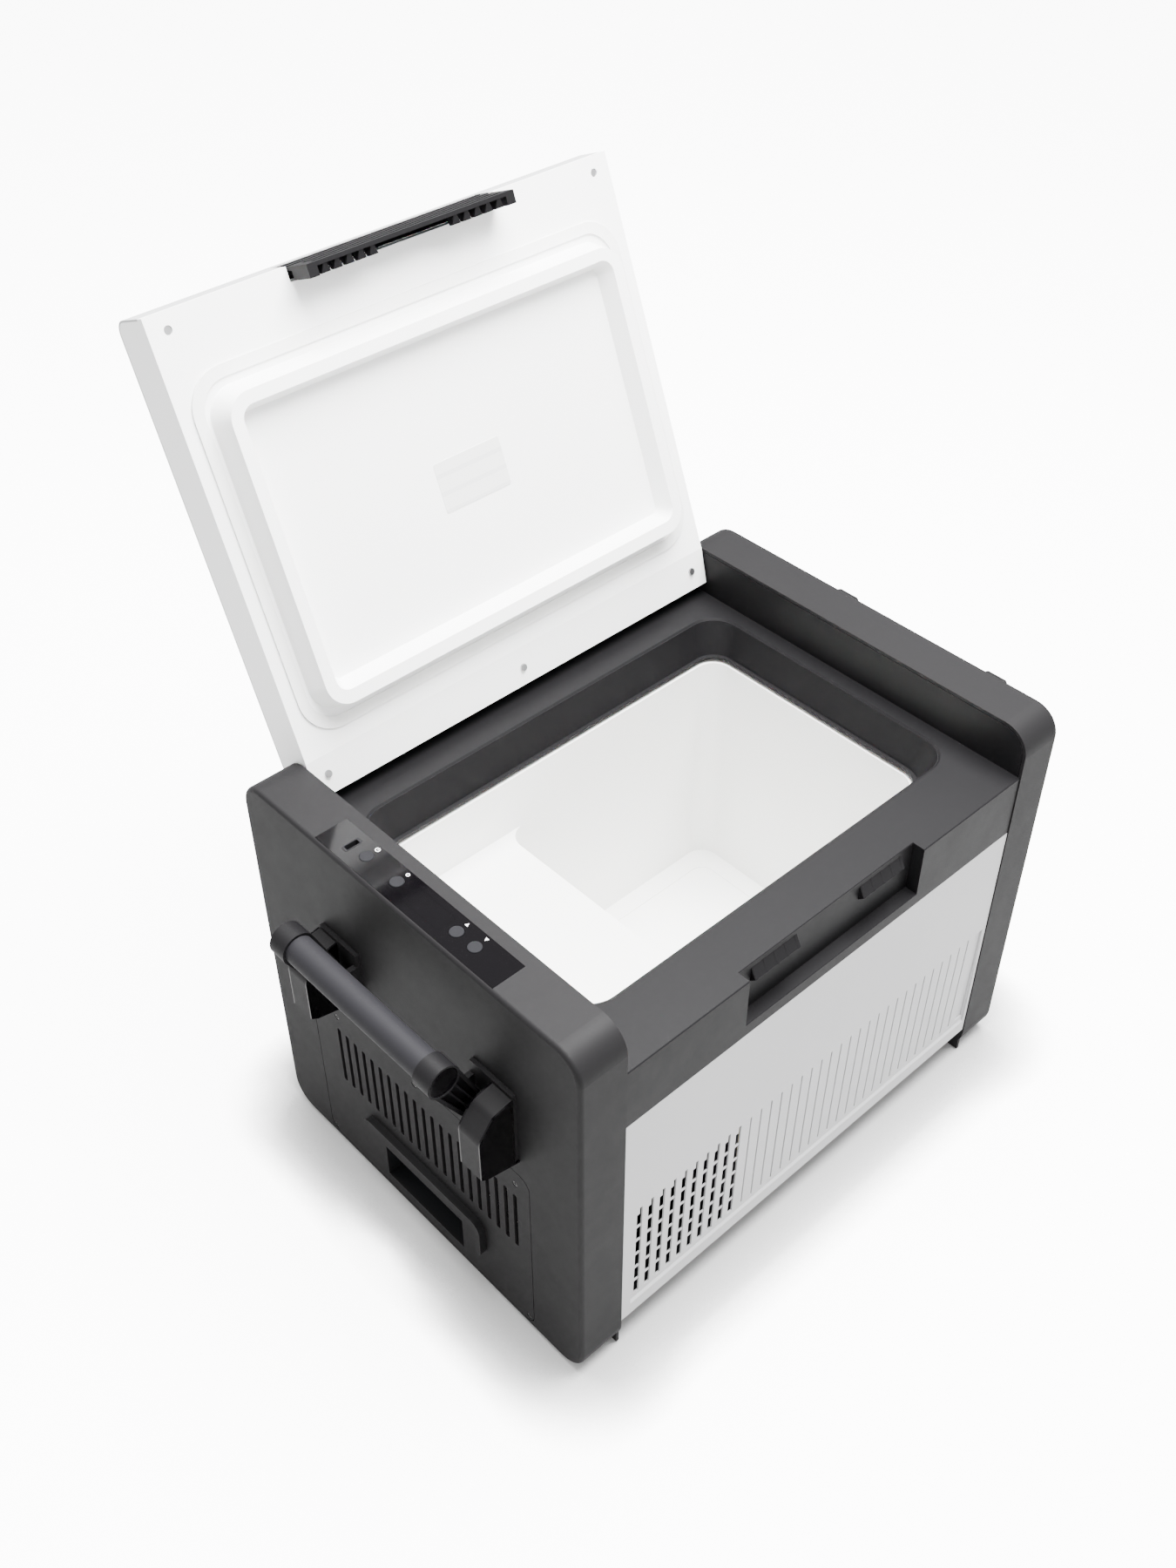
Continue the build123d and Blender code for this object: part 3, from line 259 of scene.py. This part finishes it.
def white_plastic(name, colour):
    return finish(name, colour, spread=0.02, bump=0.06,
                  settings=(("Grain", 700.0), ("Low Rough", 0.3), ("High Rough", 0.42)),
                  shader=(("Specular IOR Level", 0.4), ("Subsurface Weight", 0.05),
                          ("Subsurface Scale", 0.002)))


def gloss_black(colour):
    return finish("gloss_black", colour, spread=0.3, bump=0.02,
                  settings=(("Grain", 120.0), ("Low Rough", 0.05), ("High Rough", 0.14)),
                  shader=(("Coat Weight", 0.05), ("Coat Roughness", 0.04), ("Specular IOR Level", 0.12)))


def button_rubber(name, colour):
    return finish(name, colour, spread=0.16, bump=0.4,
                  settings=(("Grain", 2600.0), ("Low Rough", 0.62), ("High Rough", 0.78)),
                  shader=(("Specular IOR Level", 0.08),))


def black_plastic(colour):
    return finish("black_plastic", colour, spread=0.2, bump=0.25,
                  settings=(("Grain", 1600.0), ("Low Rough", 0.48), ("High Rough", 0.62)),
                  shader=(("Specular IOR Level", 0.08),))


def metal(name, colour, low, high, kind="brushed"):
    roughs = (("Low Rough", low), ("High Rough", high))
    return finish(name, colour, kind=kind, spread=0.12, bump=0.1, settings=roughs,
                  shader=(("Metallic", 1.0),))


def rigid_foam():
    return finish("rigid_foam", (0.72, 0.6, 0.33), spread=0.2, bump=0.8, depth=0.0008,
                  settings=(("Grain", 420.0), ("Low Rough", 0.85), ("High Rough", 0.97)))


def label_film(colour):
    """Pale film with plain grey rules, with no lettering."""
    material = finish("label_film", colour, spread=0.02, bump=0.03)
    tree = material.node_tree
    wave = tree.nodes.new("ShaderNodeTexWave")
    wave.bands_direction = "Y"
    wave.inputs["Scale"].default_value = 55.0
    wave.inputs["Distortion"].default_value = 0.0
    place = tree.nodes.new("ShaderNodeTexCoord")
    tree.links.new(place.outputs["Object"], wave.inputs["Vector"])
    rules = calc(tree, "GREATER_THAN", wave.outputs["Fac"], 0.86)
    ink = tree.nodes.new("ShaderNodeMix")
    ink.data_type = "RGBA"
    ink.inputs["B"].default_value = (0.66, 0.66, 0.66, 1.0)
    principled = tree.nodes["Principled BSDF"]
    tree.links.new(principled.inputs["Base Color"].links[0].from_socket, ink.inputs["A"])
    tree.links.new(rules, ink.inputs["Factor"])
    tree.links.new(ink.outputs["Result"], principled.inputs["Base Color"])
    return material


MATERIALS = {}


def material(name, make, *values):
    if name not in MATERIALS:
        MATERIALS[name] = make(*values)
    return MATERIALS[name]


def dress(names, chosen):
    """Give CAD nodes one material."""
    for name in names:
        slots = NODES[name].material_slots
        if not slots:
            NODES[name].data.materials.append(chosen)
        for slot in slots:
            slot.material = chosen


def colours():
    return bpy.context.scene.fridge_colours


def sizes():
    return bpy.context.scene.fridge_sizes


def casing_material():
    return material("casing", casing_plastic, "casing_plastic", colours().casing)


def bezel_material():
    return material("bezel", bezel_plastic, colours().bezel)


def white_material():
    return material("white", white_plastic, "lid_white", colours().white)


def gloss_material():
    return material("gloss", gloss_black, colours().gloss)


def black_material():
    return material("black", black_plastic, (0.008, 0.008, 0.009))


def rubber_material():
    return material("rubber", button_rubber, "foot_rubber", (0.012, 0.012, 0.013))


def steel_material():
    return material("steel", metal, "zinc_steel", (0.45, 0.45, 0.46), 0.25, 0.42)


def mark_material():
    return material("mark", finish, "printed_mark", colours().mark)


# ---- small meshes ---------------------------------------------------------------------------
def add_piece(name, mesh, chosen, body):
    """Link a finished mesh and let it ride on its body."""
    piece = bpy.data.objects.new(name, mesh)
    bpy.context.scene.collection.objects.link(piece)
    if not mesh.materials:
        mesh.materials.append(chosen)
    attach(piece, body)
    return piece


def solid_outline(work, points, z0, z1):
    """A closed prism over a flat outline given anticlockwise from above."""
    low = [work.verts.new((x, y, z0)) for x, y in points]
    high = [work.verts.new((x, y, z1)) for x, y in points]
    work.faces.new(list(reversed(low)))
    work.faces.new(high)
    count = len(points)
    for i in range(count):
        j = (i + 1) % count
        work.faces.new((low[i], low[j], high[j], high[i]))


def to_mesh(name, work):
    bmesh.ops.recalc_face_normals(work, faces=work.faces)
    mesh = bpy.data.meshes.new(name)
    work.to_mesh(mesh)
    work.free()
    return mesh


def arc_strip(work, centre, radius, width, start, end, z0, z1, steps=28):
    """A flat ring segment, or a whole ring where it turns full circle."""
    x, y = centre
    angles = [start + (end - start) * i / steps for i in range(steps + 1)]
    outer = [(x + (radius + width / 2) * cos(a), y + (radius + width / 2) * sin(a)) for a in angles]
    inner = [(x + (radius - width / 2) * cos(a), y + (radius - width / 2) * sin(a)) for a in angles]
    for i in range(steps):
        solid_outline(work, [outer[i], outer[i + 1], inner[i + 1], inner[i]], z0, z1)


def islands(node):
    """The lowest and highest corner of each separate solid in a CAD node."""
    work = bmesh.new()
    work.from_mesh(node.data)
    bmesh.ops.remove_doubles(work, verts=work.verts, dist=1e-6)
    waiting = set(work.verts)
    boxes = []
    while waiting:
        stack = [waiting.pop()]
        found = list(stack)
        while stack:
            for edge in stack.pop().link_edges:
                for vert in edge.verts:
                    if vert in waiting:
                        waiting.remove(vert)
                        stack.append(vert)
                        found.append(vert)
        low = Vector([min(v.co[i] for v in found) for i in range(3)])
        high = Vector([max(v.co[i] for v in found) for i in range(3)])
        boxes.append((low, high))
    work.free()
    return sorted(boxes, key=lambda b: tuple(b[0]))


# ---- geometry nodes -------------------------------------------------------------------------
def repeat_tree(chosen):
    """Puts one small part on every point of a mesh, then makes it real."""
    tree = bpy.data.node_groups.new("Repeat part", "GeometryNodeTree")
    tree.interface.new_socket("Geometry", in_out="INPUT", socket_type="NodeSocketGeometry")
    tree.interface.new_socket("Part", in_out="INPUT", socket_type="NodeSocketObject")
    size = tree.interface.new_socket("Size", in_out="INPUT", socket_type="NodeSocketFloat")
    size.default_value = 1.0
    tree.interface.new_socket("Geometry", in_out="OUTPUT", socket_type="NodeSocketGeometry")
    start = tree.nodes.new("NodeGroupInput")
    end = tree.nodes.new("NodeGroupOutput")
    part = tree.nodes.new("GeometryNodeObjectInfo")
    place = tree.nodes.new("GeometryNodeInstanceOnPoints")
    real = tree.nodes.new("GeometryNodeRealizeInstances")
    paint = tree.nodes.new("GeometryNodeSetMaterial")
    paint.inputs["Material"].default_value = chosen
    tree.links.new(start.outputs["Part"], part.inputs["Object"])
    tree.links.new(start.outputs["Geometry"], place.inputs["Points"])
    tree.links.new(part.outputs["Geometry"], place.inputs["Instance"])
    tree.links.new(start.outputs["Size"], place.inputs["Scale"])
    tree.links.new(place.outputs["Instances"], real.inputs["Geometry"])
    tree.links.new(real.outputs["Geometry"], paint.inputs["Geometry"])
    tree.links.new(paint.outputs["Geometry"], end.inputs["Geometry"])
    return tree


def socket_id(tree, name):
    return next(item.identifier for item in tree.interface.items_tree
                if item.name == name and item.in_out == "INPUT")


def repeated(name, places, part_mesh, size, chosen, body):
    """Copies of a small part at the given places, as one plain mesh on one body."""
    points = bpy.data.meshes.new(name + "_points")
    points.from_pydata(places, [], [])
    carrier = bpy.data.objects.new(name + "_carrier", points)
    part = bpy.data.objects.new(name + "_part", part_mesh)
    for helper in (carrier, part):
        bpy.context.scene.collection.objects.link(helper)
    tree = repeat_tree(chosen)
    modifier = carrier.modifiers.new("Repeat", "NODES")
    modifier.node_group = tree
    modifier[socket_id(tree, "Part")] = part
    modifier[socket_id(tree, "Size")] = size
    carrier.update_tag()
    bpy.context.view_layer.update()
    solid = carrier.evaluated_get(bpy.context.evaluated_depsgraph_get())
    mesh = bpy.data.meshes.new_from_object(solid)
    mesh.name = name
    for helper in (carrier, part):
        bpy.data.objects.remove(helper)
    return add_piece(name, mesh, chosen, body)


# ---- operators ------------------------------------------------------------------------------
class FRIDGE_OT_casings(bpy.types.Operator):
    """Finish the end casings, the service cover and its screws"""
    bl_idname = "fridge.casings"
    bl_label = "End casings"

    def execute(self, context):
        dress(("left_end_casing", "right_end_casing", "service_cover"), casing_material())
        dress(("rubber_feet",), rubber_material())
        dress(("service_cover_screws",),
              material("dark_steel", metal, "black_zinc_steel", (0.1, 0.1, 0.1), 0.3, 0.5))
        dress(("socket_housing", "dc_inlet", "ac_inlet"), black_material())
        self.screw_recesses()
        return {"FINISHED"}

    def screw_recesses(self):
        """A dark cross of two thin bars on each cover screw's head, painted shade standing in for the hollow
        of its cross recess.
        """
        size = sizes().cross_size
        width = size * 0.22
        work = bmesh.new()
        for across in ((width, size), (size, width)):
            scale = Matrix.Diagonal((RECESS_PROUD, across[0], across[1], 1.0))
            bmesh.ops.create_cube(work, size=1.0, matrix=scale)
        # painted shade: black bars in place of the shadow inside each screw's cross recess
        cross = to_mesh("screw_cross", work)
        heads = islands(NODES["service_cover_screws"])
        places = [(low.x, (low.y + high.y) / 2, (low.z + high.z) / 2) for low, high in heads]
        repeated("service_cover_screw_recesses", places, cross, 1.0, black_material(),
                 "body")


class FRIDGE_OT_panels(bpy.types.Operator):
    """Finish the front and rear panels and the base pan"""
    bl_idname = "fridge.panels"
    bl_label = "Panels"

    def execute(self, context):
        dress(("front_panel", "rear_panel"),
              material("panel", panel_plastic, "panel_plastic", colours().panel))
        dress(("base_pan",), black_material())
        return {"FINISHED"}


class FRIDGE_OT_bezel(bpy.types.Operator):
    """Finish the deck and put the ribs on its two catch blocks"""
    bl_idname = "fridge.bezel"
    bl_label = "Deck and catches"

    def execute(self, context):
        dress(("rim_bezel",), bezel_material())
        dress(("hinge_pins",), steel_material())
        self.catch_ribs()
        return {"FINISHED"}

    def catch_ribs(self):
        """Thin ribs down the sloping face of both catches."""
        size = sizes()
        width = size.rib_width
        reach = -size.catch_reach
        outline = [(0.0, CATCH_HEIGHT), (0.0, -0.003), (reach + 0.001, -0.0008), (reach, 0.0),
                   (reach + 0.001, 0.0018)]
        work = bmesh.new()
        sides = [[work.verts.new((x, y, z)) for y, z in outline] for x in (-width / 2, width / 2)]
        work.faces.new(sides[0])
        work.faces.new(list(reversed(sides[1])))
        for i in range(len(outline)):
            j = (i + 1) % len(outline)
            work.faces.new((sides[0][i], sides[1][i], sides[1][j], sides[0][j]))
        rib = to_mesh("catch_rib", work)
        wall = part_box("front_panel")[0][1] + size.catch_wall
        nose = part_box("left_end_casing")[1][2] - size.catch_drop
        inner, outer = size.catch_span
        step = (outer - inner) / max(size.rib_count - 1, 1)
        places = [(way * (inner + i * step), wall, nose) for way in (-1, 1) for i in range(size.rib_count)]
        repeated("catch_ribs", places, rib, 1.0, bezel_material(), "body")


class FRIDGE_OT_tub(bpy.types.Operator):
    """Finish the tub and the foam behind it"""
    bl_idname = "fridge.tub"
    bl_label = "Tub"

    def execute(self, context):
        dress(("inner_tub",), material("tub", white_plastic, "tub_white", colours().tub))
        dress(("tub_insulation", "lid_foam"), material("foam", rigid_foam))
        return {"FINISHED"}


class FRIDGE_OT_lid(bpy.types.Operator):
    """Finish the lid, its seal, its blank label and its latch"""
    bl_idname = "fridge.lid"
    bl_label = "Lid and latch"

    def execute(self, context):
        dress(("lid_liner",), white_material())
        dress(("lid_cover",), material("lid_top", panel_plastic, "lid_cover_plastic", colours().panel))
        dress(("lid_gasket",), material("seal", button_rubber, "seal_rubber", (0.8, 0.8, 0.79)))
        dress(("lid_screws", "latch_pin"), steel_material())
        dress(("rating_label",), material("label", label_film, (0.74, 0.74, 0.73)))
        dress(("latch_handle",), bezel_material())
        return {"FINISHED"}


class FRIDGE_OT_controls(bpy.types.Operator):
    """Finish the control strip and print its symbols"""
    bl_idname = "fridge.controls"
    bl_label = "Control strip"

    def execute(self, context):
        dress(("control_overlay", "display_window"), gloss_material())
        dress(BUTTON_NODES, material("button", button_rubber, "button_rubber", (0.009, 0.009, 0.0105)))
        dress(("usb_socket",), black_material())
        dress(("display_board",), material("board", finish, "solder_mask", (0.01, 0.09, 0.04)))
        self.symbols()
        return {"FINISHED"}

    def symbols(self):
        """A power sign, a ring for the set button and two arrows, beside their buttons."""
        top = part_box("control_overlay")[1][2]
        z0, z1 = top, top + PRINT_THICKNESS
        half = sizes().symbol_size / 2
        beside = {}
        for name in BUTTON_NODES:
            low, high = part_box(name)
            beside[name] = (high[0] + half * 1.5, (low[1] + high[1]) / 2)
        work = bmesh.new()
        x, y = beside["power_button"]
        arc_strip(work, (x, y), half * 0.8, half * 0.3, radians(35), radians(325), z0, z1)
        solid_outline(work, [(x, y - half * 0.13), (x + half, y - half * 0.13), (x + half, y + half * 0.13),
                             (x, y + half * 0.13)], z0, z1)
        arc_strip(work, beside["set_button"], half * 0.55, half * 0.3, 0.0, 2 * pi, z0, z1)
        for name, way in (("up_button", 1.0), ("down_button", -1.0)):
            x, y = beside[name]
            points = [(x - half * 0.7 * way, y + half * 0.7), (x - half * 0.7 * way, y - half * 0.7),
                      (x + half * 0.7 * way, y)]
            solid_outline(work, points, z0, z1)
        add_piece("control_symbols", to_mesh("control_symbols", work), mark_material(), "body")


class FRIDGE_OT_handles(bpy.types.Operator):
    """Finish both handles, their brackets and caps"""
    bl_idname = "fridge.handles"
    bl_label = "Handles"

    def execute(self, context):
        grip = material("grip", casing_plastic, "grip_plastic", (0.0115, 0.0112, 0.013))
        for side in HANDLE_SIDES:
            dress((f"{side}_front_bracket", f"{side}_rear_bracket"), casing_material())
            dress((f"{side}_handle_frame",), bezel_material())
            dress((f"{side}_handle_grip",), grip)
            dress((f"{side}_bracket_caps", f"{side}_handle_end_caps"), gloss_material())
            dress((f"{side}_handle_pins",), steel_material())
        return {"FINISHED"}


class FRIDGE_OT_machinery(bpy.types.Operator):
    """Finish the cooling machinery behind the vents"""
    bl_idname = "fridge.machinery"
    bl_label = "Machinery"

    def execute(self, context):
        dress(("compressor",), gloss_material())
        dress(("compressor_grommets",), rubber_material())
        dress(("condenser_coil", "evaporator_plate", "controller_box"),
              material("aluminium", metal, "mill_aluminium", (0.6, 0.61, 0.62), 0.3, 0.5))
        dress(("compartment_partition",), steel_material())
        dress(("fan_frame", "fan_rotor"), black_material())
        dress(("refrigerant_lines",),
              material("copper", metal, "copper_tube", (0.72, 0.36, 0.2), 0.25, 0.45))
        return {"FINISHED"}


class FRIDGE_OT_stage(bpy.types.Operator):
    """Set up the floor, the studio light and the camera"""
    bl_idname = "fridge.stage"
    bl_label = "Stage"

    def execute(self, context):
        self.floor(context)
        self.lights(context)
        self.camera(context)
        return {"FINISHED"}

    def floor(self, context):
        bpy.ops.mesh.primitive_plane_add(size=FLOOR_SIZE, location=(0.0, 0.0, 0.0))
        floor = context.object
        floor.name = "studio_floor"
        paper = bpy.data.materials.new("studio_paper")
        paper.use_nodes = True
        tree = paper.node_tree
        principled = tree.nodes["Principled BSDF"]
        principled.inputs["Base Color"].default_value = (0.5, 0.5, 0.5, 1.0)
        principled.inputs["Roughness"].default_value = 0.95
        principled.inputs["Specular IOR Level"].default_value = 0.0
        principled.inputs["Emission Color"].default_value = (1.0, 1.0, 1.0, 1.0)
        seen = tree.nodes.new("ShaderNodeLightPath").outputs["Is Camera Ray"]
        # painted contact shadow: ambient occlusion dims the camera-only glow round the fridge's foot
        near = tree.nodes.new("ShaderNodeAmbientOcclusion")
        near.inputs["Distance"].default_value = SHADE_REACH
        shade = calc(tree, "POWER", near.outputs["AO"], SHADE_POWER)
        glow = calc(tree, "MULTIPLY", calc(tree, "MULTIPLY", seen, FLOOR_GLOW), shade)
        tree.links.new(glow, principled.inputs["Emission Strength"])
        floor.data.materials.append(paper)

    def lights(self, context):
        world = bpy.data.worlds.new("studio_world")
        world.use_nodes = True
        background = world.node_tree.nodes["Background"]
        background.inputs["Color"].default_value = (1.0, 1.0, 1.0, 1.0)
        background.inputs["Strength"].default_value = SKY_STRENGTH
        context.scene.world = world
        for name, (place, side, power) in SOFTBOXES.items():
            data = bpy.data.lights.new(name, "AREA")
            data.size = side
            data.energy = power
            lamp = bpy.data.objects.new(name, data)
            lamp.location = place
            aim = Vector(LIGHT_TARGET) - Vector(place)
            lamp.rotation_euler = aim.to_track_quat("-Z", "Y").to_euler()
            context.scene.collection.objects.link(lamp)

    def camera(self, context):
        data = bpy.data.cameras.new("studio_camera")
        data.sensor_fit = "VERTICAL"
        data.sensor_height = 36.0
        data.lens = CAMERA_LENS
        camera = bpy.data.objects.new("studio_camera", data)
        camera.location = CAMERA_PLACE
        camera.rotation_euler = (radians(CAMERA_TILT), 0.0, radians(CAMERA_TURN))
        context.scene.collection.objects.link(camera)
        context.scene.camera = camera


class FRIDGE_PT_panel(bpy.types.Panel):
    """Lists the fridge's operators and values"""
    bl_idname = "FRIDGE_PT_panel"
    bl_label = "Compressor cooler fridge"
    bl_space_type = "VIEW_3D"
    bl_region_type = "UI"
    bl_category = "Fridge"

    def draw(self, context):
        layout = self.layout
        for group in (colours(), sizes()):
            for name in group.__annotations__:
                layout.prop(group, name)
        for operator in OPERATORS:
            layout.operator(operator.bl_idname)


GROUPS = (FridgeColours, FridgeSizes)
OPERATORS = (FRIDGE_OT_stage, FRIDGE_OT_casings, FRIDGE_OT_panels, FRIDGE_OT_bezel, FRIDGE_OT_tub,
             FRIDGE_OT_lid, FRIDGE_OT_controls, FRIDGE_OT_handles, FRIDGE_OT_machinery)


def register():
    for cls in GROUPS + OPERATORS + (FRIDGE_PT_panel,):
        bpy.utils.register_class(cls)
    bpy.types.Scene.fridge_colours = PointerProperty(type=FridgeColours)
    bpy.types.Scene.fridge_sizes = PointerProperty(type=FridgeSizes)


def unregister():
    del bpy.types.Scene.fridge_sizes
    del bpy.types.Scene.fridge_colours
    for cls in reversed(GROUPS + OPERATORS + (FRIDGE_PT_panel,)):
        bpy.utils.unregister_class(cls)


def main():
    register()
    for operator in OPERATORS:
        group, name = operator.bl_idname.split(".")
        getattr(getattr(bpy.ops, group), name)()


if __name__ == "__main__":
    main()
